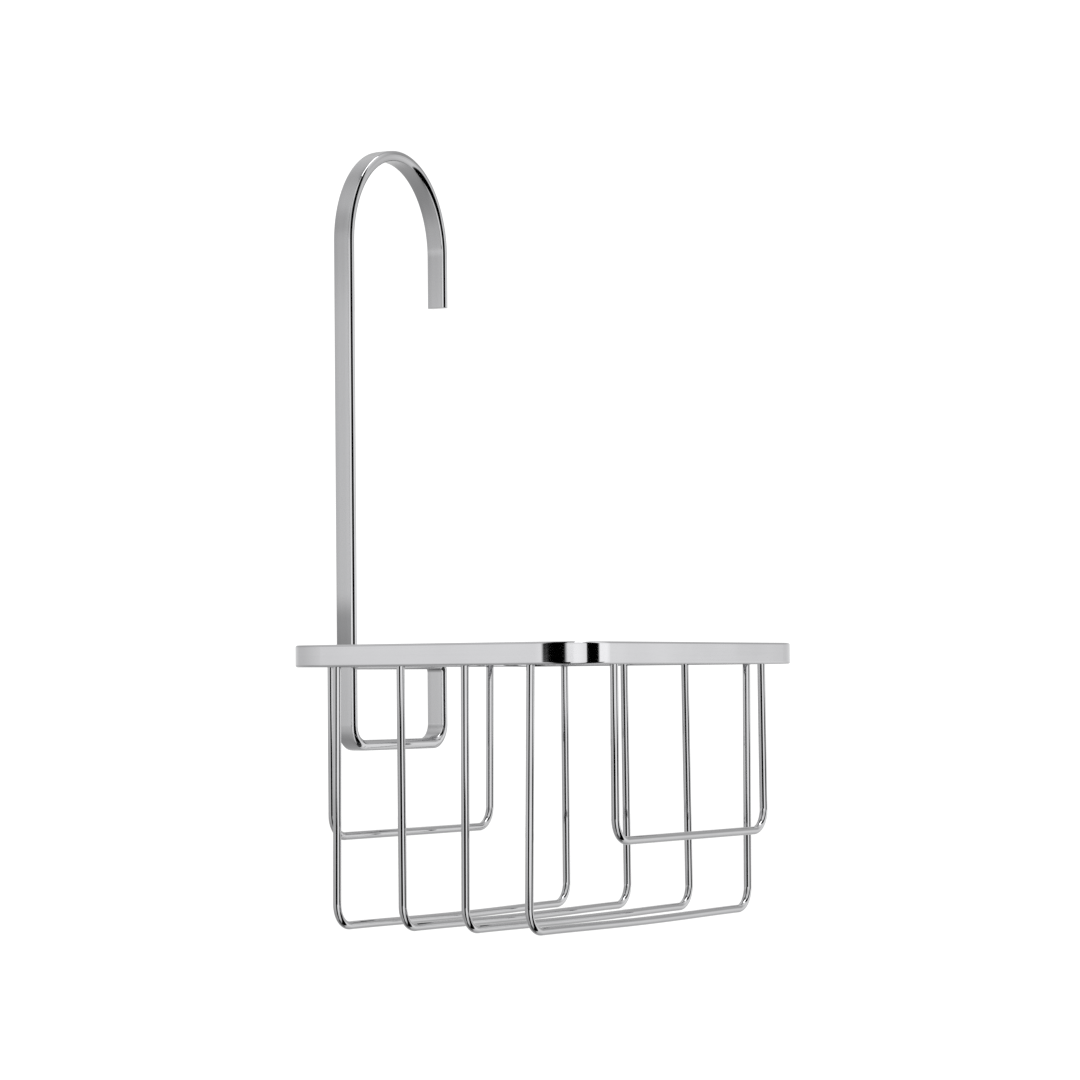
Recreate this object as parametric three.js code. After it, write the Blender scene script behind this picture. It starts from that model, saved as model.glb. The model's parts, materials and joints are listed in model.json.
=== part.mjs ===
// Hanging shower caddy of polished stainless steel: a flat-bar rim and a flat-bar hook,
// with a basket of round wires welded to the rim's inner faces.
// Millimetres, +Z up, -Y to the front. The origin is the seat under the crown of the hook.
import * as THREE from 'three';

// Rim: flat bar on edge, bent to a rounded rectangle.
const RIM_WIDTH = 210;
const RIM_DEPTH = 161;
const RIM_HEIGHT = 10;
const RIM_THICKNESS = 3;
const RIM_CORNER = 21;

// Hook: wider flat bar, bent flatwise in a plane parallel to the back of the rim.
const HOOK_WIDTH = 10;
const HOOK_THICKNESS = 5;
const HOOK_HALF_SPAN = 40.5;
const ARCH_RISE = 44.7;
const ARCH_SPRING = 190;
const TIP_END = 165;
const LOOP_BOTTOM = -46.6;
const LOOP_TOP = -8.5;
const LOOP_LEG = 37.5;
const LOOP_BEND = 9.5;
const LOOP_TOP_BEND = 4;

// Wires: round rod, each bent to a U that opens upwards.
const WIRE_DIAMETER = 4;
const WIRE_TOP = -1.5;
const WIRE_BEND = 10;
const CROSS_WIRES = 4;
const CROSS_PITCH = 34;
const CROSS_BOTTOM = -126.5;
const CROSS_SAG = 0.6;
const GUARD_HALF_SPAN = 69;
const GUARD_BOTTOM = -87.9;

// The wires are bent by hand, so their legs are a little out of square. Each pair is how far
// the left and the right leg lean outwards by the time they reach the bottom.
const CROSS_LEANS = [[3.3, -1.4], [1.2, 2.3], [-0.4, 1.5], [1.6, 0.2]];
const FRONT_GUARD_LEANS = [0, 1];
const BACK_GUARD_LEANS = [0, -1.5];

// Shared: rounded edges of both flat bars, and the clearance between welded pieces.
const EDGE = 1;
const GAP = 0.3;

const HOOK_Y = RIM_DEPTH / 2 + GAP + HOOK_WIDTH / 2;
const SEAT_Z = ARCH_SPRING + ARCH_RISE - HOOK_THICKNESS / 2;
const WIRE_INSET = RIM_THICKNESS + GAP + WIRE_DIAMETER / 2;
const QUARTER = Math.PI / 2;

const steel = (roughness) => new THREE.MeshStandardMaterial({
  color: 0xcfd2d4,
  metalness: 1,
  roughness,
});

// Extrudes an outline by a given length, all edges rounded, centred on its own plane.
function roundedPlate(outline, length, curveSegments) {
  const geometry = new THREE.ExtrudeGeometry(outline, {
    depth: length - 2 * EDGE,
    bevelEnabled: true,
    bevelThickness: EDGE,
    bevelSize: EDGE,
    bevelOffset: -EDGE,
    bevelSegments: 2,
    curveSegments,
  });
  return geometry.translate(0, 0, EDGE - length / 2);
}

function roundedRectangle(path, halfX, halfY, radius) {
  const x = halfX - radius;
  const y = halfY - radius;
  path.moveTo(halfX, -y);
  path.lineTo(halfX, y);
  path.absarc(x, y, radius, 0, QUARTER, false);
  path.lineTo(-x, halfY);
  path.absarc(-x, y, radius, QUARTER, 2 * QUARTER, false);
  path.lineTo(-halfX, -y);
  path.absarc(-x, -y, radius, 2 * QUARTER, 3 * QUARTER, false);
  path.lineTo(x, -halfY);
  path.absarc(x, -y, radius, 3 * QUARTER, 4 * QUARTER, false);
  return path;
}

function makeRim() {
  const outline = roundedRectangle(new THREE.Shape(), RIM_WIDTH / 2, RIM_DEPTH / 2, RIM_CORNER);
  const inside = roundedRectangle(
    new THREE.Path(),
    RIM_WIDTH / 2 - RIM_THICKNESS,
    RIM_DEPTH / 2 - RIM_THICKNESS,
    RIM_CORNER - RIM_THICKNESS,
  );
  outline.holes.push(inside);
  return roundedPlate(outline, RIM_HEIGHT, 5).translate(0, 0, -RIM_HEIGHT / 2);
}

// The hook's side outline, drawn in X and Z: tip, arch, shank and the closed loop at the foot.
function makeHook() {
  const half = HOOK_THICKNESS / 2;
  const span = HOOK_HALF_SPAN;
  const outerBend = LOOP_BEND + half;
  const innerBend = LOOP_BEND - half;
  const outline = new THREE.Shape();
  outline.moveTo(span - half, TIP_END);
  outline.lineTo(span + half, TIP_END);
  outline.lineTo(span + half, ARCH_SPRING);
  outline.absellipse(0, ARCH_SPRING, span + half, ARCH_RISE + half, 0, QUARTER, false, 0);
  outline.absellipse(0, ARCH_SPRING, span + half, ARCH_RISE + half, QUARTER, 2 * QUARTER, false, 0);
  outline.lineTo(-span - half, LOOP_BOTTOM + LOOP_BEND);
  outline.absarc(-span + LOOP_BEND, LOOP_BOTTOM + LOOP_BEND, outerBend, 2 * QUARTER, 3 * QUARTER, false);
  outline.lineTo(LOOP_LEG - LOOP_BEND, LOOP_BOTTOM - half);
  outline.absarc(LOOP_LEG - LOOP_BEND, LOOP_BOTTOM + LOOP_BEND, outerBend, 3 * QUARTER, 4 * QUARTER, false);
  outline.lineTo(LOOP_LEG + half, LOOP_TOP - LOOP_TOP_BEND);
  outline.absarc(LOOP_LEG - LOOP_TOP_BEND, LOOP_TOP - LOOP_TOP_BEND, LOOP_TOP_BEND + half, 0, QUARTER, false);
  outline.lineTo(-span + half, LOOP_TOP + half);
  outline.lineTo(-span + half, ARCH_SPRING);
  outline.absellipse(0, ARCH_SPRING, span - half, ARCH_RISE - half, 2 * QUARTER, QUARTER, true, 0);
  outline.absellipse(0, ARCH_SPRING, span - half, ARCH_RISE - half, QUARTER, 0, true, 0);
  outline.lineTo(span - half, TIP_END);

  const loop = new THREE.Path();
  loop.moveTo(-span + half, LOOP_TOP - half);
  loop.lineTo(-span + half, LOOP_BOTTOM + LOOP_BEND);
  loop.absarc(-span + LOOP_BEND, LOOP_BOTTOM + LOOP_BEND, innerBend, 2 * QUARTER, 3 * QUARTER, false);
  loop.lineTo(LOOP_LEG - LOOP_BEND, LOOP_BOTTOM + half);
  loop.absarc(LOOP_LEG - LOOP_BEND, LOOP_BOTTOM + LOOP_BEND, innerBend, 3 * QUARTER, 4 * QUARTER, false);
  loop.lineTo(LOOP_LEG - half, LOOP_TOP - LOOP_TOP_BEND);
  loop.absarc(LOOP_LEG - LOOP_TOP_BEND, LOOP_TOP - LOOP_TOP_BEND, LOOP_TOP_BEND - half, 0, QUARTER, false);
  loop.lineTo(-span + half, LOOP_TOP - half);
  outline.holes.push(loop);
  return roundedPlate(outline, HOOK_WIDTH, 6).rotateX(QUARTER).translate(0, HOOK_Y, 0);
}

// Centre line of a U-shaped wire in its own plane: down one leg, round a bend, along the
// bottom, which may sag, and up the other leg. Stations fall closer together in the bends.
class UWirePath extends THREE.Curve {
  constructor(halfSpan, bottom, sag, leans) {
    super();
    const left = UWirePath.end(halfSpan, bottom, leans[0]);
    const right = UWirePath.end(halfSpan, bottom, leans[1]);
    right.forEach((point) => point.setX(-point.x));
    const start = left.at(-1).x;
    const length = right.at(-1).x - start;
    const run = 6;
    const floor = [];
    for (let i = 1; i < run; i += 1) {
      const t = i / run;
      const dip = sag * (4 * t * (1 - t)) ** 2;
      floor.push(new THREE.Vector3(start + length * t, 0, bottom - dip));
    }
    this.stations = [...left, ...floor, ...right.reverse()];
  }

  // One leg and its bend, from the top to where the bottom run starts, on the side of -X.
  static end(halfSpan, bottom, lean) {
    const turn = 6;
    const tilt = Math.atan2(lean, WIRE_TOP - bottom);
    const corner = WIRE_BEND * Math.tan((QUARTER + tilt) / 2);
    const centreX = -halfSpan - lean + corner;
    const centreZ = bottom + WIRE_BEND;
    const points = [new THREE.Vector3(-halfSpan, 0, WIRE_TOP)];
    for (let i = 0; i <= turn; i += 1) {
      const angle = (i / turn) * (QUARTER + tilt) - tilt;
      const x = centreX - WIRE_BEND * Math.cos(angle);
      const z = centreZ - WIRE_BEND * Math.sin(angle);
      points.push(new THREE.Vector3(x, 0, z));
    }
    return points;
  }

  getPoint(t, target = new THREE.Vector3()) {
    const last = this.stations.length - 1;
    const place = Math.min(Math.max(t, 0), 1) * last;
    const index = Math.min(Math.floor(place), last - 1);
    return target.lerpVectors(this.stations[index], this.stations[index + 1], place - index);
  }

  getPointAt(u, target) {
    return this.getPoint(u, target);
  }

  // The mean direction at a station, so that the section is mitred between two chords.
  getTangentAt(u, target = new THREE.Vector3()) {
    const last = this.stations.length - 1;
    const index = Math.round(u * last);
    const before = this.stations[index].clone().sub(this.stations[Math.max(index - 1, 0)]);
    const after = this.stations[Math.min(index + 1, last)].clone().sub(this.stations[index]);
    return target.copy(before.normalize()).add(after.normalize()).normalize();
  }
}

function makeWire(halfSpan, bottom, sag, leans) {
  const section = new THREE.Shape();
  section.absarc(0, 0, WIRE_DIAMETER / 2, 0, 2 * Math.PI, false);
  const path = new UWirePath(halfSpan, bottom, sag, leans);
  return new THREE.ExtrudeGeometry(section, {
    extrudePath: path,
    steps: path.stations.length - 1,
    curveSegments: 6,
  });
}

const caddy = new THREE.Group();
caddy.name = 'shower_caddy';
caddy.position.set(0, -HOOK_Y, -SEAT_Z);

function addPiece(name, geometry, roughness) {
  const mesh = new THREE.Mesh(geometry, steel(roughness));
  mesh.name = name;
  caddy.add(mesh);
  return mesh;
}

addPiece('rim_frame', makeRim(), 0.16);
addPiece('hook_bar', makeHook(), 0.2);

// Cross wires run from side to side and carry the load; number 1 is nearest the front.
for (let i = 0; i < CROSS_WIRES; i += 1) {
  const wire = makeWire(RIM_WIDTH / 2 - WIRE_INSET, CROSS_BOTTOM, CROSS_SAG, CROSS_LEANS[i]);
  const mesh = addPiece(`cross_wire_${i + 1}`, wire, 0.08);
  mesh.position.y = CROSS_PITCH * (i - (CROSS_WIRES - 1) / 2);
}

// Guard wires close the front and the back at half height.
const guardY = RIM_DEPTH / 2 - WIRE_INSET;
const frontGuard = makeWire(GUARD_HALF_SPAN, GUARD_BOTTOM, 0, FRONT_GUARD_LEANS);
const backGuard = makeWire(GUARD_HALF_SPAN, GUARD_BOTTOM, 0, BACK_GUARD_LEANS);
addPiece('front_guard_wire', frontGuard, 0.08).position.y = -guardY;
addPiece('back_guard_wire', backGuard, 0.08).position.y = guardY;

export default caddy;
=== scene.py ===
import json
import math

import bpy
import numpy as np
from mathutils import Matrix, Vector

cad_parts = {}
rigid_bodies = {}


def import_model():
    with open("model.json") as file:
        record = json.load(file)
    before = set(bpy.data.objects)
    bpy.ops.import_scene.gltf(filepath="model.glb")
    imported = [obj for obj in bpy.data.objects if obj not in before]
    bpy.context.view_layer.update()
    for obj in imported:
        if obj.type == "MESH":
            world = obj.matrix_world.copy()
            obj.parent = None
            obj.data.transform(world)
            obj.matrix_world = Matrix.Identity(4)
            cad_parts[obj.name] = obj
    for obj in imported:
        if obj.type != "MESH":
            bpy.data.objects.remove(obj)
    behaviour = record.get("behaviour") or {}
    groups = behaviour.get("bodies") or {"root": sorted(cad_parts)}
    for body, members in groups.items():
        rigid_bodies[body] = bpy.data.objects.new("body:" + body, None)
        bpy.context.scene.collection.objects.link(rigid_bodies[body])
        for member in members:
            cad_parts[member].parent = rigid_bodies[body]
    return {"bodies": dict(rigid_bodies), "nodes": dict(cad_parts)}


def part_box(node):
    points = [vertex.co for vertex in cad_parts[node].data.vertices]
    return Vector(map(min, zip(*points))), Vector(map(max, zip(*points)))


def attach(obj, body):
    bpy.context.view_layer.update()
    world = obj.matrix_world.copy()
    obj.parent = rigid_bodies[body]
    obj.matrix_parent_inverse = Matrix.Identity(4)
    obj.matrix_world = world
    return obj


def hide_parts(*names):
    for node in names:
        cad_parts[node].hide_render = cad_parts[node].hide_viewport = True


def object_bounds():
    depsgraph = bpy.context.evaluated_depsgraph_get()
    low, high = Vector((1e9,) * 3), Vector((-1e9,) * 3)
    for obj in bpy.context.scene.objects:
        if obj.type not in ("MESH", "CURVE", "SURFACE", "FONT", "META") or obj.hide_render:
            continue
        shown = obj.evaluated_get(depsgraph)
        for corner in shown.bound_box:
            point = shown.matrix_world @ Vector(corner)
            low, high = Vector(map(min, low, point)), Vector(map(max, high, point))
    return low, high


MM = 0.001

# Sections and bends. Lengths and places come from the frame.
RIM_EDGE = 1.0 * MM
RIM_THICKNESS = 3 * MM
# The rim's corners ease in and out of the bend: angle in degrees and outer radius.
RIM_BEND = ((28, 30 * MM), (34, 15.4 * MM), (28, 30 * MM))
HOOK_THICKNESS = 5 * MM
# From a wide face to an edge face: up to which angle in degrees it rounds, and how sharply.
HOOK_ROUNDING = ((5, 28 * MM), (33, 0.25 * MM), (61, 1.4 * MM), (78, 5 * MM), (90, 0.3 * MM))
SATIN_ANGLE = 6
HOOK_END_ROUND = 0.2 * MM
ARCH_RISE = 44.7 * MM
TIP_DROP = 25 * MM
LOOP_BEND = 9.5 * MM
LOOP_TOP_BEND = 4 * MM
LOOP_TOP_RISE = 1.5 * MM
LOOP_LEG_INSET = 3 * MM
LOOP_OVERLAP = 0.5 * MM

# The wires' solids have the first radius. Their drawn rods are a little thinner.
WIRE_RADIUS = 2 * MM
ROD_RADIUS = 1.85 * MM
ROD_END_ROUND = 0.7 * MM
WIRE_BEND = 10 * MM
WIRE_INSET = 5.3 * MM
CROSS_SAG = 0.6 * MM
LEVEL_TOLERANCE = 1e-7

# How far the left and the right leg of each wire lean outwards at the bottom, front first.
CROSS_LEANS = ((3.3, -1.4), (1.2, 2.3), (-0.4, 1.5), (1.6, 0.2))
FRONT_GUARD_LEANS = (0, 1)
BACK_GUARD_LEANS = (0, -1.5)

# Weld beads: how far each reaches along the face on either side, the point (aside, out) where
# it leaves the rod or bar, the point that pulls its flank in, and how far it sinks in the face.
WIRE_WELD = (2.3 * MM, (1.53 * MM, 1.0 * MM), 0.85 * MM)
HOOK_WELD = (2.9 * MM, (1.9 * MM, 0.75 * MM), 1.8 * MM)
LOOP_WELD = (3.5 * MM, (1.9 * MM, 1.0 * MM), 2.1 * MM)
WELD_SINK = 0.05 * MM
WELD_MARGIN = 1.3 * MM
HOOK_WELD_EXTRA = 1.5 * MM
LOOP_WELD_MARGIN = 0.8 * MM
WELD_DROP = 0.2 * MM
WELD_STATIONS = 15
WELD_TAPER = 0.35
WELD_RAGGEDNESS = 0.05
WELD_LEAST_SIZE = 0.12
CROSS_SEED, GUARD_SEED, HOOK_SEED, LOOP_SEED = 0, 50, 70, 90

# Metal: how fine its noises are, how much of the variation is polishing lines, how far
# roughness and tone vary, and how deep the lines are.
CLOUD_SCALE = 34.0
WAVE_SCALE = 22.0
LINES_SHARE = 0.35
ROUGHNESS_RANGE = (0.7, 1.35)
DARK_TONE = 0.93
LINES_STRENGTH = 0.25
LINES_DEPTH = 0.004 * MM

# Camera: just below the rim's top, looking slightly up, and rolled a little. Angles are in
# radians, and lens and sensor in millimetres.
VIEW_YAW = math.radians(31.20)
VIEW_PITCH = math.radians(2.1035)
VIEW_ROLL = 0.0089
VIEW_DISTANCE = 1.7913
VIEW_SIDE = 0.0035
VIEW_DROP = 0.0172
LENS = 128.14
SENSOR = 36
NEAREST, FARTHEST = 0.05, 60

# Studio.
FLOOR_GAP = 0.16
FLOOR_RADIUS = 6.0
FLOOR_GREY = 0.93
FLOOR_ROUGHNESS = 0.9
FLOOR_SPECULAR = 0.1
DOME_RADIUS = 14.0
DOME_GLOW = 1.12
LAMP_OFFSET = (0.3, -0.5, 1.6)
LAMP_SIZE = (0.9, 0.6)
LAMP_POWER = 6

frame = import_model()
CAD_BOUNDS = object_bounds()
ROOT = next(iter(frame["bodies"]))


# ---------------------------------------------------------------- paths and sections

class Trace:
    """A flat path drawn as by a pen that goes forward and turns, with a heading at each point."""

    def __init__(self, at, heading):
        self.at = np.array(at, float)
        self.heading = heading
        self.points = [self.at.copy()]
        self.headings = [heading]

    def forward(self, length, steps=1):
        direction = np.array([math.cos(self.heading), math.sin(self.heading)])
        for _ in range(steps):
            self.at = self.at + direction * length / steps
            self.points.append(self.at.copy())
            self.headings.append(self.heading)
        return self

    def turn(self, radius, angle, steps=24):
        """An arc to the left for a positive angle, and to the right for a negative one."""
        side = math.copysign(1, angle)
        for _ in range(steps):
            out = self.heading - side * math.pi / 2
            centre = self.at - radius * np.array([math.cos(out), math.sin(out)])
            self.heading += angle / steps
            out = self.heading - side * math.pi / 2
            self.at = centre + radius * np.array([math.cos(out), math.sin(out)])
            self.points.append(self.at.copy())
            self.headings.append(self.heading)
        return self

    def half_ellipse(self, half_span, rise, steps=96):
        """From heading up, over to the left, to heading down."""
        foot = self.at - np.array([half_span, 0.0])
        for i in range(1, steps + 1):
            t = math.pi * i / steps
            self.at = foot + np.array([half_span * math.cos(t), rise * math.sin(t)])
            self.heading = math.atan2(rise * math.cos(t), -half_span * math.sin(t))
            if t > math.pi / 2 and self.heading > 0:
                self.heading -= 2 * math.pi
            self.points.append(self.at.copy())
            self.headings.append(self.heading)
        return self

    def arrays(self):
        return np.array(self.points), np.array(self.headings)


def rounded_section(half_a, half_b, radius, steps=8):
    """Points and outward normals round a rectangle with rounded corners."""
    points, normals = [], []
    corners = [(1, 1, 0), (-1, 1, 1), (-1, -1, 2), (1, -1, 3)]
    for sign_a, sign_b, quarter in corners:
        for i in range(steps + 1):
            angle = (quarter + i / steps) * math.pi / 2
            normal = (math.cos(angle), math.sin(angle))
            points.append((
                sign_a * (half_a - radius) + radius * normal[0],
                sign_b * (half_b - radius) + radius * normal[1],
            ))
            normals.append(normal)
    return np.array(points), np.array(normals)


def rolled_section(half_a, half_b, rounding, steps=6):
    """Like a rounded rectangle, but with corners whose radius changes along the corner."""
    a = b = angle = 0.0
    corner, normals = [(0.0, 0.0)], [(1.0, 0.0)]
    for end, radius in rounding:
        start, end = angle, math.radians(end)
        for i in range(1, steps + 1):
            following = start + (end - start) * i / steps
            a += radius * (math.cos(angle) - math.cos(following))
            b += radius * (math.sin(following) - math.sin(angle))
            angle = following
            corner.append((-a, b))
            normals.append((math.cos(angle), math.sin(angle)))
    corner = np.array(corner) + (half_a, half_b - b)
    normals = np.array(normals)
    points, sides = [], []
    for sign, step in (((1, 1), 1), ((-1, 1), -1), ((-1, -1), 1), ((1, -1), -1)):
        points.append(corner[::step] * sign)
        sides.append(normals[::step] * sign)
    return np.concatenate(points), np.concatenate(sides)


def round_section(radius, steps=40):
    angles = np.arange(steps) * 2 * math.pi / steps
    normals = np.stack([np.cos(angles), np.sin(angles)], 1)
    return normals * radius, normals


def in_plane_xz(points, headings, y):
    """Centres, tangents, in-plane normals and cross normals of a path drawn in X and Z."""
    zero = np.zeros(len(points))
    centres = np.stack([points[:, 0], np.full(len(points), y), points[:, 1]], 1)
    tangents = np.stack([np.cos(headings), zero, np.sin(headings)], 1)
    laterals = np.stack([-np.sin(headings), zero, np.cos(headings)], 1)
    return centres, tangents, laterals, np.cross(tangents, laterals)


def in_plane_xy(points, headings, z):
    """The same for a path drawn in X and Y."""
    zero = np.zeros(len(points))
    centres = np.stack([points[:, 0], points[:, 1], np.full(len(points), z)], 1)
    tangents = np.stack([np.cos(headings), np.sin(headings), zero], 1)
    laterals = np.stack([-np.sin(headings), np.cos(headings), zero], 1)
    return centres, tangents, laterals, np.cross(tangents, laterals)


# ---------------------------------------------------------------- mesh building

def linked(name, data):
    """An object of the scene that holds the data."""
    made = bpy.data.objects.new(name, data)
    bpy.context.scene.collection.objects.link(made)
    return made


def smooth_mesh(name, vertices, faces, normals):
    """A mesh object that shades with the exact normals of the surface it samples."""
    mesh = bpy.data.meshes.new(name)
    mesh.from_pydata([tuple(v) for v in vertices], [], faces)
    mesh.update()
    signed = sum(
        Vector(vertices[f[0]]).dot(Vector(vertices[f[i]]).cross(Vector(vertices[f[i + 1]])))
        for f in faces
        for i in range(1, len(f) - 1)
    )
    if signed < 0:
        mesh.flip_normals()
    mesh.polygons.foreach_set("use_smooth", [True] * len(mesh.polygons))
    mesh.normals_split_custom_set_from_vertices([tuple(n) for n in normals])
    return linked(name, mesh)


def sweep(name, path, section, closed=False, end_round=0.0, end_steps=6, face_angle=None):
    """Carries a section along a path. An open sweep ends in flat caps with rounded edges.

    With a face angle, all that leans further than that from the section's wide faces takes
    the piece's second material.
    """
    centres, tangents, laterals, crosses = path
    shape, shape_normals = section
    count = len(shape)
    beside = shape_normals + np.roll(shape_normals, -1, 0)
    beside = np.abs(beside[:, 0]) / np.linalg.norm(beside, axis=1)
    kinds = [0] * count
    if face_angle is not None:
        kinds = [int(b < math.cos(math.radians(face_angle))) for b in beside]
    rings, ring_normals = [], []

    def ring(i, inset, along, lean):
        outline = shape - shape_normals * inset
        outward = shape_normals[:, :1] * laterals[i] + shape_normals[:, 1:] * crosses[i]
        rings.append(
            centres[i]
            + tangents[i] * along
            + outline[:, :1] * laterals[i]
            + outline[:, 1:] * crosses[i]
        )
        ring_normals.append(outward * math.cos(lean) + tangents[i] * math.sin(lean))

    if not closed:
        for j in range(end_steps, -1, -1):
            lean = j / end_steps * math.pi / 2
            inset = end_round * (1 - math.cos(lean))
            ring(0, inset, end_round * (1 - math.sin(lean)), -lean)
    for i in range(len(centres)) if closed else range(1, len(centres) - 1):
        ring(i, 0.0, 0.0, 0.0)
    if not closed:
        for j in range(end_steps + 1):
            lean = j / end_steps * math.pi / 2
            inset = end_round * (1 - math.cos(lean))
            ring(len(centres) - 1, inset, -end_round * (1 - math.sin(lean)), lean)

    faces = []
    spans = len(rings) if closed else len(rings) - 1
    for i in range(spans):
        low, high = i * count, (i + 1) % len(rings) * count
        for j in range(count):
            k = (j + 1) % count
            faces.append((low + j, low + k, high + k, high + j))
    kinds = kinds * spans
    if not closed:
        last = (len(rings) - 1) * count
        faces.append(tuple(range(count - 1, -1, -1)))
        faces.append(tuple(range(last, last + count)))
        kinds += [max(kinds)] * 2
    piece = smooth_mesh(name, np.concatenate(rings), faces, np.concatenate(ring_normals))
    piece.data.polygons.foreach_set("material_index", kinds)
    return piece


# ---------------------------------------------------------------- materials

def noise(nodes, links, vector, scale, detail):
    node = nodes.new("ShaderNodeTexNoise")
    node.inputs["Scale"].default_value = scale
    node.inputs["Detail"].default_value = detail
    links.new(vector, node.inputs["Vector"])
    return node


def grey_ramp(nodes, stops, span=1.0, start=0.0):
    """A ramp through pairs of a place and a brightness, whose places run over the span."""
    node = nodes.new("ShaderNodeValToRGB")
    elements = node.color_ramp.elements
    while len(elements) < len(stops):
        elements.new(1.0)
    for element, (place, value) in zip(elements, stops):
        element.position = (place - start) / span
        element.color = (value, value, value, 1)
    return node


def darkened(nodes, links, place, colour, painted_shade):
    """The colour, multiplied by painted shade: a brightness that changes with height, as the given
    pairs of Z and brightness say.
    """
    split = nodes.new("ShaderNodeSeparateXYZ")
    links.new(place.outputs["Object"], split.inputs["Vector"])
    height = nodes.new("ShaderNodeMapRange")
    lowest, highest = painted_shade[0][0], painted_shade[-1][0]
    height.inputs["From Min"].default_value = lowest
    height.inputs["From Max"].default_value = highest
    links.new(split.outputs["Z"], height.inputs["Value"])
    shade = grey_ramp(nodes, painted_shade, highest - lowest, lowest)
    shade.color_ramp.interpolation = "EASE"
    links.new(height.outputs["Result"], shade.inputs["Fac"])
    shaded_colour = nodes.new("ShaderNodeMix")
    shaded_colour.data_type = "RGBA"
    shaded_colour.blend_type = "MULTIPLY"
    shaded_colour.inputs["Factor"].default_value = 1.0
    links.new(colour, shaded_colour.inputs["A"])
    links.new(shade.outputs["Color"], shaded_colour.inputs["B"])
    return shaded_colour.outputs["Result"]


def metal(name, colour, roughness, grain, wave=0.12, painted_shade=None):
    """Polished steel: roughness that varies in fine polishing lines, and faint waves in the face.

    grain is how fine the polishing noise is along X, Y and Z, so that its lines run along
    the axes with the smallest value. wave is the depth of the waves in millimetres. The last
    argument is a painted shade that darkens the colour with height, as pairs of Z and brightness.
    """
    material = bpy.data.materials.new(name)
    material.use_nodes = True
    nodes, links = material.node_tree.nodes, material.node_tree.links
    shader = nodes["Principled BSDF"]
    shader.inputs["Metallic"].default_value = 1.0
    place = nodes.new("ShaderNodeTexCoord")

    stretch = nodes.new("ShaderNodeMapping")
    stretch.inputs["Scale"].default_value = grain
    links.new(place.outputs["Object"], stretch.inputs["Vector"])
    lines = noise(nodes, links, stretch.outputs["Vector"], 1.0, 4.0)
    lines.inputs["Roughness"].default_value = 0.65
    cloud = noise(nodes, links, place.outputs["Object"], CLOUD_SCALE, 2.0)
    mixed = nodes.new("ShaderNodeMix")
    mixed.data_type = "FLOAT"
    mixed.inputs["Factor"].default_value = LINES_SHARE
    links.new(cloud.outputs["Fac"], mixed.inputs["A"])
    links.new(lines.outputs["Fac"], mixed.inputs["B"])

    rough = nodes.new("ShaderNodeMapRange")
    rough.inputs["From Min"].default_value = 0.3
    rough.inputs["From Max"].default_value = 0.7
    rough.inputs["To Min"].default_value = roughness * ROUGHNESS_RANGE[0]
    rough.inputs["To Max"].default_value = roughness * ROUGHNESS_RANGE[1]
    links.new(mixed.outputs["Result"], rough.inputs["Value"])
    links.new(rough.outputs["Result"], shader.inputs["Roughness"])

    tone = nodes.new("ShaderNodeValToRGB")
    dark, light = tone.color_ramp.elements
    dark.position, light.position = 0.32, 0.62
    dark.color = (*(c * DARK_TONE for c in colour), 1)
    light.color = (*colour, 1)
    links.new(mixed.outputs["Result"], tone.inputs["Fac"])
    shown = tone.outputs["Color"]
    if painted_shade is not None:
        shown = darkened(nodes, links, place, shown, painted_shade)
    links.new(shown, shader.inputs["Base Color"])

    fine = nodes.new("ShaderNodeBump")
    fine.inputs["Strength"].default_value = LINES_STRENGTH
    fine.inputs["Distance"].default_value = LINES_DEPTH
    links.new(lines.outputs["Fac"], fine.inputs["Height"])
    swell = noise(nodes, links, place.outputs["Object"], WAVE_SCALE, 1.0)
    broad = nodes.new("ShaderNodeBump")
    broad.inputs["Strength"].default_value = 1.0
    broad.inputs["Distance"].default_value = wave * MM
    links.new(swell.outputs["Fac"], broad.inputs["Height"])
    links.new(fine.outputs["Normal"], broad.inputs["Normal"])
    links.new(broad.outputs["Normal"], shader.inputs["Normal"])
    return material


# Painted shade on the hook's satin faces: darker beside the rim, where hook and rim meet, and a
# little darker where the arch starts.
RIM_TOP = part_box("rim_frame")[1].z
SATIN_PAINTED_SHADE = [
    (RIM_TOP - 10 * MM, 1.0),
    (RIM_TOP - 3 * MM, 0.6),
    (RIM_TOP, 0.52),
    (RIM_TOP + 12 * MM, 0.58),
    (RIM_TOP + 26 * MM, 1.0),
    (-80 * MM, 1.0),
    (-43 * MM, 0.87),
    (-38 * MM, 1.0),
]
# Painted shade on its edges: they get darker towards the crown.
CROWN_PAINTED_SHADE = [(-60 * MM, 1.0), (-20 * MM, 0.86), (0.0, 0.8)]

RIM_STEEL = metal("rim_steel", (0.67, 0.67, 0.685), 0.07, (12, 12, 900))
# The hook's satin faces and its edges carry the painted shade listed above.
HOOK_SATIN = metal("hook_satin", (0.56, 0.56, 0.57), 0.16, (12, 900, 12), wave=0.1, painted_shade=SATIN_PAINTED_SHADE)
HOOK_EDGE = metal("hook_edge", (0.60, 0.60, 0.61), 0.05, (60, 60, 60), wave=0.03, painted_shade=CROWN_PAINTED_SHADE)
WIRE_STEEL = metal("wire_steel", (0.58, 0.58, 0.59), 0.03, (60, 60, 60), wave=0.03)
WELD_STEEL = metal("weld_steel", (0.55, 0.55, 0.56), 0.22, (500, 500, 500), wave=0.4)


def finish_piece(piece, materials, slot, *nodes):
    """Gives a piece its materials and its body, and hides the CAD nodes it replaces. The slot is
    not used.
    """
    for material in materials:
        piece.data.materials.append(material)
    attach(piece, ROOT)
    if nodes:
        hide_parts(*nodes)


# ---------------------------------------------------------------- the rim

rim_low, rim_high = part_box("rim_frame")
rim_x, rim_y = rim_high.x, (rim_high.y - rim_low.y) / 2
rim_mid_y = (rim_high.y + rim_low.y) / 2
rim_mid_z = (rim_high.z + rim_low.z) / 2
rim_height = rim_high.z - rim_low.z


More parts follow.
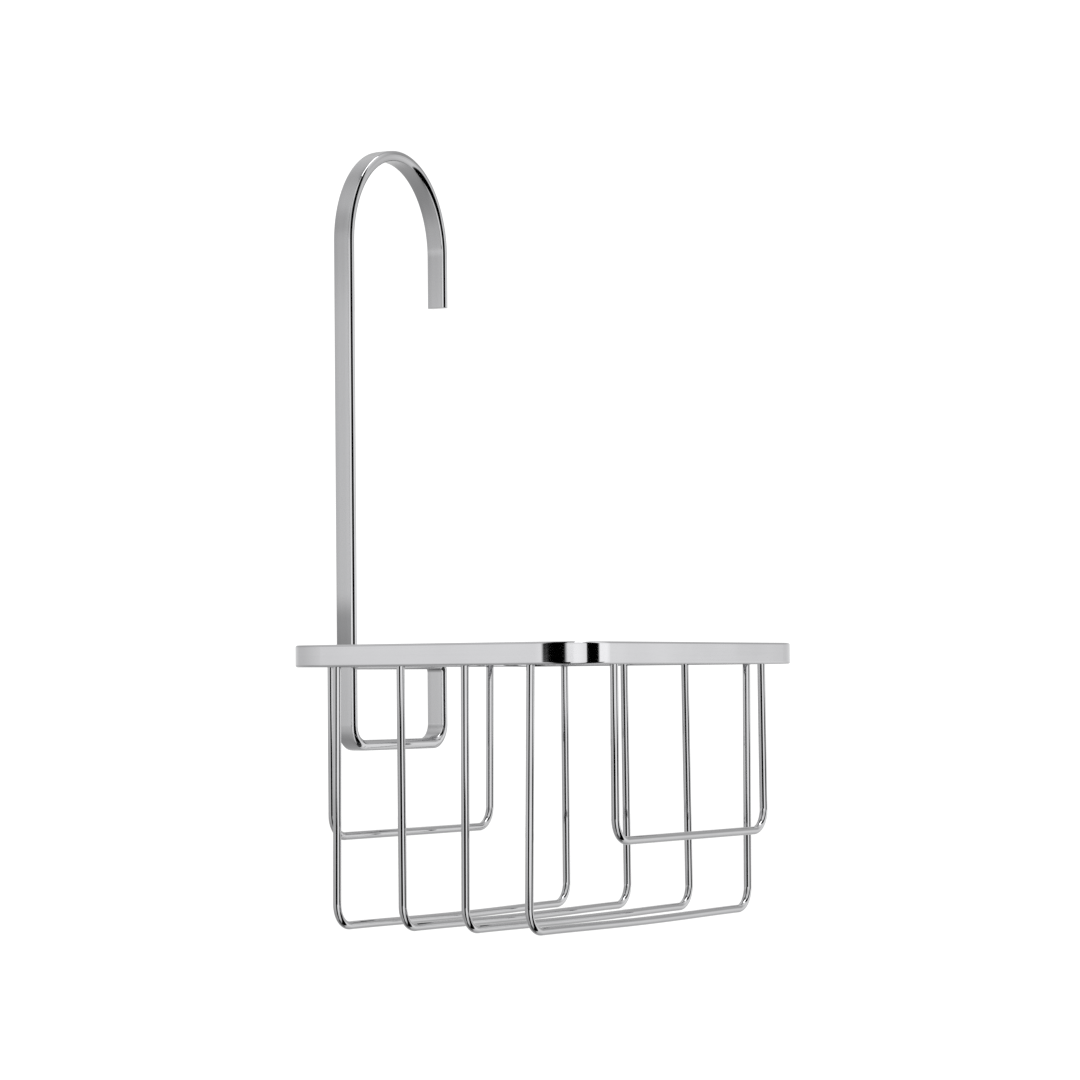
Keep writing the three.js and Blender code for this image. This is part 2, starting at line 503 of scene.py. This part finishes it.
def make_rim():
    """The closed bar. Its straight runs are what the eased corners leave of each side."""
    half = RIM_THICKNESS / 2
    reach = turned_by = 0.0
    for degrees, radius in RIM_BEND:
        following = turned_by + math.radians(degrees)
        reach += radius * (math.cos(turned_by) - math.cos(following))
        turned_by = following
    flat_x, flat_y = 2 * (rim_x - reach), 2 * (rim_y - reach)
    trace = Trace((rim_x - half, rim_mid_y - flat_y / 2), math.pi / 2)
    for length in (flat_y, flat_x, flat_y, flat_x):
        trace.forward(length, steps=12)
        for degrees, radius in RIM_BEND:
            trace.turn(radius - half, math.radians(degrees), steps=20)
    points, headings = trace.arrays()
    path = in_plane_xy(points[:-1], headings[:-1], rim_mid_z)
    section = rounded_section(half, rim_height / 2, RIM_EDGE)
    return sweep("rim", path, section, closed=True)


finish_piece(make_rim(), (RIM_STEEL,), "polished_flat_bar", "rim_frame")


# ---------------------------------------------------------------- the hook

hook_low, hook_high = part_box("hook_bar")
hook_y = (hook_low.y + hook_high.y) / 2
hook_half_width = (hook_high.y - hook_low.y) / 2
hook_half = HOOK_THICKNESS / 2
hook_span = hook_high.x - hook_half
spring_z = hook_high.z - hook_half - ARCH_RISE
loop_bottom_z = hook_low.z + hook_half
loop_top_z = rim_low.z + LOOP_TOP_RISE
loop_leg_x = hook_span - LOOP_LEG_INSET


def make_hook():
    """Tip, arch, shank and the loop at the foot, whose end runs a little into the shank."""
    trace = Trace((hook_span, spring_z - TIP_DROP), math.pi / 2)
    trace.forward(TIP_DROP, steps=4).half_ellipse(hook_span, ARCH_RISE)
    trace.forward(spring_z - loop_bottom_z - LOOP_BEND, steps=16).turn(LOOP_BEND, math.pi / 2)
    trace.forward(hook_span + loop_leg_x - 2 * LOOP_BEND, steps=6).turn(LOOP_BEND, math.pi / 2)
    trace.forward(loop_top_z - loop_bottom_z - LOOP_BEND - LOOP_TOP_BEND, steps=4)
    trace.turn(LOOP_TOP_BEND, math.pi / 2)
    trace.forward(loop_leg_x - LOOP_TOP_BEND + hook_span - hook_half + LOOP_OVERLAP, steps=6)
    path = in_plane_xz(*trace.arrays(), hook_y)
    section = rolled_section(hook_half, hook_half_width, HOOK_ROUNDING)
    return sweep("hook", path, section, end_round=HOOK_END_ROUND, face_angle=SATIN_ANGLE)


finish_piece(make_hook(), (HOOK_SATIN, HOOK_EDGE), "satin_flat_bar", "hook_bar")


# ---------------------------------------------------------------- the wires

def make_wire(node, name, half_span, leans, sag=0.0):
    """A U of wire in a plane of its own, its legs leaning out to each side by the two leans."""
    low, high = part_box(node)
    bottom = low.z + WIRE_RADIUS + sag
    depth = high.z - bottom
    left, right = (math.atan2(lean * MM, depth) for lean in leans)
    corners = [WIRE_BEND * math.tan((math.pi / 2 + tilt) / 2) for tilt in (left, right)]
    legs = [math.hypot(depth, lean * MM) - cut for lean, cut in zip(leans, corners)]
    flat = 2 * half_span + sum(leans) * MM - sum(corners)
    start = -half_span - leans[0] * MM + corners[0]
    trace = Trace((-half_span, high.z), -math.pi / 2 - left)
    trace.forward(legs[0], steps=10).turn(WIRE_BEND, math.pi / 2 + left)
    trace.forward(flat, steps=36).turn(WIRE_BEND, math.pi / 2 + right)
    trace.forward(legs[1], steps=10)
    points, headings = trace.arrays()
    along = np.clip((points[:, 0] - start) / flat, 0, 1)
    on_floor = points[:, 1] < bottom + LEVEL_TOLERANCE
    dip = (4 * along * (1 - along)) ** 2
    slope = 2 * (4 * along * (1 - along)) * 4 * (1 - 2 * along) / flat
    points[:, 1] -= on_floor * sag * dip
    headings -= on_floor * sag * slope
    path = in_plane_xz(points, headings, (low.y + high.y) / 2)
    piece = sweep(name, path, round_section(ROD_RADIUS), end_round=ROD_END_ROUND)
    finish_piece(piece, (WIRE_STEEL,), "polished_wire", node)


cross_nodes = sorted(n for n in frame["nodes"] if n.startswith("cross_wire_"))
for number, (node, leans) in enumerate(zip(cross_nodes, CROSS_LEANS), 1):
    make_wire(node, f"floor_wire_{number}", rim_x - WIRE_INSET, leans, CROSS_SAG)
guard_half_span = -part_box("front_guard_wire")[0].x - WIRE_RADIUS
make_wire("front_guard_wire", "front_guard", guard_half_span, FRONT_GUARD_LEANS)
make_wire("back_guard_wire", "back_guard", guard_half_span, BACK_GUARD_LEANS)


# ---------------------------------------------------------------- the welds

def curve_through(start, control, end, steps=6):
    t = np.linspace(0, 1, steps + 1)[:, None]
    return (1 - t) ** 2 * start + 2 * t * (1 - t) * control + t**2 * end


def weld_outline(reach, contact, pull):
    """Section of a weld that fills both corners between a face and what stands on it."""
    foot = np.array([reach, -WELD_SINK])
    top = np.array(contact)
    right = curve_through(foot, np.array((pull, WELD_SINK)), top)
    left = right[::-1] * np.array([-1, 1])
    return np.concatenate([right, left])


def make_weld(outline, base, along, face_normal, length, seed):
    """Vertices and faces of a bead whose section is the outline.

    It is centred on the base, tapered at both ends and a little uneven.
    """
    base, along = np.array(base, float), np.array(along, float)
    face_normal = np.array(face_normal, float)
    side = np.cross(face_normal, along)
    ragged = np.random.default_rng(seed)
    stations = np.linspace(0, 1, WELD_STATIONS)
    swell = np.sin(math.pi * stations) ** WELD_TAPER
    swell = swell * (1 + WELD_RAGGEDNESS * ragged.standard_normal(len(stations)))
    vertices, faces = [], []
    count = len(outline)
    for station, size in zip(stations, swell):
        size = max(size, WELD_LEAST_SIZE)
        spot = base + along * (station - 0.5) * length
        for lateral, height in outline:
            vertices.append(tuple(spot + side * lateral * size + face_normal * height * size))
    for i in range(len(stations) - 1):
        low, high = i * count, (i + 1) * count
        for j in range(count):
            k = (j + 1) % count
            faces.append((low + j, low + k, high + k, high + j))
    faces.append(tuple(range(count - 1, -1, -1)))
    last = (len(stations) - 1) * count
    faces.append(tuple(range(last, last + count)))
    return vertices, faces


def joined(name, welds):
    """One smooth piece from many welds."""
    vertices, faces = [], []
    for weld_vertices, weld_faces in welds:
        start = len(vertices)
        vertices += weld_vertices
        faces += [tuple(start + i for i in face) for face in weld_faces]
    mesh = bpy.data.meshes.new(name)
    mesh.from_pydata(vertices, [], faces)
    mesh.polygons.foreach_set("use_smooth", [True] * len(mesh.polygons))
    mesh.update()
    piece = linked(name, mesh)
    smooth = piece.modifiers.new("smooth", "SUBSURF")
    smooth.levels = smooth.render_levels = 1
    return piece


wire_weld, hook_weld, loop_weld = (
    weld_outline(*sizes) for sizes in (WIRE_WELD, HOOK_WELD, LOOP_WELD)
)
upright = (0, 0, 1)
wire_welds, hook_welds = [], []
weld_length = rim_height - 2 * WELD_MARGIN
for number, node in enumerate(cross_nodes):
    low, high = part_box(node)
    for side in (-1, 1):
        face = (side * (rim_x - RIM_THICKNESS), (low.y + high.y) / 2, rim_mid_z - WELD_DROP)
        seed = CROSS_SEED + 10 * number + side + 1
        wire_welds.append(make_weld(wire_weld, face, upright, (-side, 0, 0), weld_length, seed))
for number, side in enumerate((-1, 1)):
    y = rim_mid_y + side * (rim_y - RIM_THICKNESS)
    for x in (-guard_half_span, guard_half_span):
        face = (x, y, rim_mid_z - WELD_DROP)
        seed = GUARD_SEED + number
        wire_welds.append(make_weld(wire_weld, face, upright, (0, -side, 0), weld_length, seed))
for number, x in enumerate((-hook_span, loop_leg_x)):
    face = (x, rim_high.y, rim_mid_z)
    length = weld_length + HOOK_WELD_EXTRA
    hook_welds.append(make_weld(hook_weld, face, upright, (0, 1, 0), length, HOOK_SEED + number))
face = (-hook_span + hook_half, hook_y, loop_top_z)
length = 2 * (hook_half_width - LOOP_WELD_MARGIN)
hook_welds.append(make_weld(loop_weld, face, (0, 1, 0), (1, 0, 0), length, LOOP_SEED))
finish_piece(joined("wire_welds", wire_welds), (WELD_STEEL,), "polished_wire")
finish_piece(joined("hook_welds", hook_welds), (WELD_STEEL,), "satin_flat_bar")


# ---------------------------------------------------------------- studio

def glow_material(name, colour, strength):
    material = bpy.data.materials.new(name)
    material.use_nodes = True
    nodes, links = material.node_tree.nodes, material.node_tree.links
    nodes.clear()
    glow = nodes.new("ShaderNodeEmission")
    glow.inputs["Color"].default_value = (*colour, 1)
    glow.inputs["Strength"].default_value = strength
    out = nodes.new("ShaderNodeOutputMaterial")
    links.new(glow.outputs["Emission"], out.inputs["Surface"])
    return material


def disc(name, radius, z, steps=96):
    """A flat round face at a height."""
    angles = [2 * math.pi * i / steps for i in range(steps)]
    mesh = bpy.data.meshes.new(name)
    rim = [(radius * math.cos(a), radius * math.sin(a), z) for a in angles]
    mesh.from_pydata(rim, [], [tuple(range(steps))])
    return linked(name, mesh)


def dome(name, radius, rows=24, columns=48):
    """A closed shell round the whole studio, seen by the camera as plain white."""
    vertices, faces = [], []
    for i in range(rows + 1):
        tilt = math.pi * i / rows
        for j in range(columns):
            turn = 2 * math.pi * j / columns
            vertices.append((
                radius * math.sin(tilt) * math.cos(turn),
                radius * math.sin(tilt) * math.sin(turn),
                radius * math.cos(tilt),
            ))
    for i in range(rows):
        for j in range(columns):
            k = (j + 1) % columns
            here, below = i * columns, (i + 1) * columns
            faces.append((here + j, below + j, below + k, here + k))
    mesh = bpy.data.meshes.new(name)
    mesh.from_pydata(vertices, [], faces)
    return linked(name, mesh)


floor = disc("floor", FLOOR_RADIUS, CAD_BOUNDS[0].z - FLOOR_GAP)
floor_material = bpy.data.materials.new("pale_floor")
floor_material.use_nodes = True
floor_shader = floor_material.node_tree.nodes["Principled BSDF"]
floor_shader.inputs["Base Color"].default_value = (FLOOR_GREY, FLOOR_GREY, FLOOR_GREY, 1)
floor_shader.inputs["Roughness"].default_value = FLOOR_ROUGHNESS
floor_shader.inputs["Specular IOR Level"].default_value = FLOOR_SPECULAR
floor.data.materials.append(floor_material)
floor.visible_glossy = False

backdrop = dome("backdrop", DOME_RADIUS)
backdrop.data.materials.append(glow_material("white_glow", (1, 1, 1), DOME_GLOW))
backdrop.visible_glossy = False
backdrop.visible_shadow = False


# What the polished metal mirrors: a pale room with two dark stretches beside the camera.
# Only reflections see it, because the dome hides it. Each pair is a heading in degrees from
# +X, and how bright the room is there.
ROOM_LEVEL = [
    (0, 0.82),
    (31, 0.92),
    (65, 0.82),
    (90, 0.70),
    (104, 0.72),
    (124, 0.80),
    (134, 0.84),
    (144.5, 0.89),
    (146, 0.96),
    (149, 1.00),
    (158, 1.06),
    (160, 1.06),
    (164.5, 0.0),
    (201, 0.0),
    (206, 1.20),
    (240, 1.25),
    (262, 1.15),
    (270.5, 1.05),
    (273, 0.0),
    (297, 0.0),
    (301, 1.35),
    (318, 1.30),
    (328.5, 1.10),
    (330, 0.99),
    (331, 0.93),
    (333, 0.83),
    (345, 0.78),
    (360, 0.82),
]
# The same well below the horizon.
ROOM_LOW = [
    (0, 0.72),
    (31, 0.72),
    (65, 0.64),
    (100, 0.58),
    (122, 0.57),
    (136, 0.66),
    (146, 0.75),
    (160, 0.77),
    (172, 0.68),
    (182, 0.0),
    (215, 0.0),
    (219, 1.25),
    (240, 1.30),
    (262, 1.15),
    (271, 1.00),
    (273.5, 0.0),
    (312, 0.0),
    (315, 1.20),
    (318, 1.20),
    (330, 1.05),
    (345, 0.86),
    (360, 0.72),
]
# The same just below the horizon, where the wires look.
ROOM_WIRES = [
    (0, 0.72),
    (31, 0.72),
    (65, 0.64),
    (100, 0.58),
    (122, 0.57),
    (136, 0.66),
    (146, 0.75),
    (160, 0.82),
    (170, 0.85),
    (174, 0.0),
    (224, 0.0),
    (228, 1.25),
    (240, 1.30),
    (262, 1.15),
    (271, 1.00),
    (273.5, 0.0),
    (312, 0.0),
    (315, 1.20),
    (330, 1.05),
    (345, 0.86),
    (360, 0.72),
]
# Where the low room gives way to that of the wires, and that to the level room, as
# (1 + sine of the elevation) / 2, and how bright all are at each such height: dark overhead
# and underfoot.
WIRES_STEP = (0.4615, 0.465)
LEVEL_STEP = (0.492, 0.4965)
ROOM_HEIGHTS = [
    (0.0, 0.2),
    (0.03, 0.2),
    (0.06, 0.72),
    (0.2, 0.75),
    (0.32, 0.93),
    (0.46, 1.0),
    (0.49, 1.0),
    (0.51, 1.0),
    (0.54, 0.96),
    (0.58, 0.80),
    (0.66, 0.66),
    (0.74, 0.72),
    (0.82, 0.92),
    (0.935, 0.9),
    (0.96, 0.15),
    (1.0, 0.15),
]


def make_world():
    """Brightness by heading, from three rooms blended by height, times that of the height."""
    world = bpy.data.worlds.new("studio")
    bpy.context.scene.world = world
    world.use_nodes = True
    nodes, links = world.node_tree.nodes, world.node_tree.links
    background = nodes["Background"]
    place = nodes.new("ShaderNodeTexCoord")
    parts = nodes.new("ShaderNodeSeparateXYZ")
    links.new(place.outputs["Generated"], parts.inputs["Vector"])

    heading = nodes.new("ShaderNodeMath")
    heading.operation = "ARCTAN2"
    links.new(parts.outputs["Y"], heading.inputs[0])
    links.new(parts.outputs["X"], heading.inputs[1])
    turns = nodes.new("ShaderNodeMath")
    turns.operation = "DIVIDE"
    turns.inputs[1].default_value = 2 * math.pi
    links.new(heading.outputs[0], turns.inputs[0])
    wrapped = nodes.new("ShaderNodeMath")
    wrapped.operation = "WRAP"
    wrapped.inputs[1].default_value = 1.0
    wrapped.inputs[2].default_value = 0.0
    links.new(turns.outputs[0], wrapped.inputs[0])

    def mix(blend, factor, first, second):
        node = nodes.new("ShaderNodeMix")
        node.data_type = "RGBA"
        node.blend_type = blend
        if factor is None:
            node.inputs["Factor"].default_value = 1.0
        else:
            links.new(factor, node.inputs["Factor"])
        links.new(first, node.inputs["A"])
        links.new(second, node.inputs["B"])
        return node.outputs["Result"]

    rooms = []
    for stops in (ROOM_LOW, ROOM_WIRES, ROOM_LEVEL):
        around = grey_ramp(nodes, stops, 360)
        links.new(wrapped.outputs[0], around.inputs["Fac"])
        rooms.append(around.outputs["Color"])

    def remap(source, low, high):
        node = nodes.new("ShaderNodeMapRange")
        node.inputs["From Min"].default_value = low
        node.inputs["From Max"].default_value = high
        links.new(source, node.inputs["Value"])
        return node.outputs["Result"]

    height = remap(parts.outputs["Z"], -1.0, 1.0)
    room = mix("MIX", remap(height, *WIRES_STEP), rooms[0], rooms[1])
    room = mix("MIX", remap(height, *LEVEL_STEP), room, rooms[2])
    tilt = grey_ramp(nodes, ROOM_HEIGHTS)
    links.new(height, tilt.inputs["Fac"])
    links.new(mix("MULTIPLY", None, room, tilt.outputs["Color"]), background.inputs["Color"])


make_world()


def make_lamp(at, aim):
    """A soft lamp above the basket."""
    data = bpy.data.lights.new("overhead", "AREA")
    data.shape = "RECTANGLE"
    data.size, data.size_y = LAMP_SIZE
    data.energy = LAMP_POWER
    lamp = linked("overhead", data)
    lamp.location = at
    lamp.rotation_euler = (aim - at).to_track_quat("-Z", "Y").to_euler()


middle = Vector((0, rim_mid_y, rim_mid_z))
make_lamp(middle + Vector(LAMP_OFFSET), middle)


# ---------------------------------------------------------------- camera

forward = Vector((math.cos(VIEW_YAW), math.sin(VIEW_YAW), 0))
right = Vector((math.sin(VIEW_YAW), -math.cos(VIEW_YAW), 0))
rim_centre = Vector((0, rim_mid_y, rim_high.z))
camera_data = bpy.data.cameras.new("camera")
camera_data.sensor_width = SENSOR
camera_data.lens = LENS
camera_data.clip_start, camera_data.clip_end = NEAREST, FARTHEST
camera = linked("camera", camera_data)
up = Vector((0, 0, 1))
aim = forward * math.cos(VIEW_PITCH) + up * math.sin(VIEW_PITCH)
turned = Matrix((right, right.cross(aim), -aim)).transposed().to_4x4()
spot = rim_centre - forward * VIEW_DISTANCE - right * VIEW_SIDE - up * VIEW_DROP
camera.matrix_world = Matrix.Translation(spot) @ turned @ Matrix.Rotation(-VIEW_ROLL, 4, "Z")
bpy.context.scene.camera = camera

bpy.context.scene.view_settings.view_transform = "Standard"
bpy.context.scene.view_settings.look = "None"
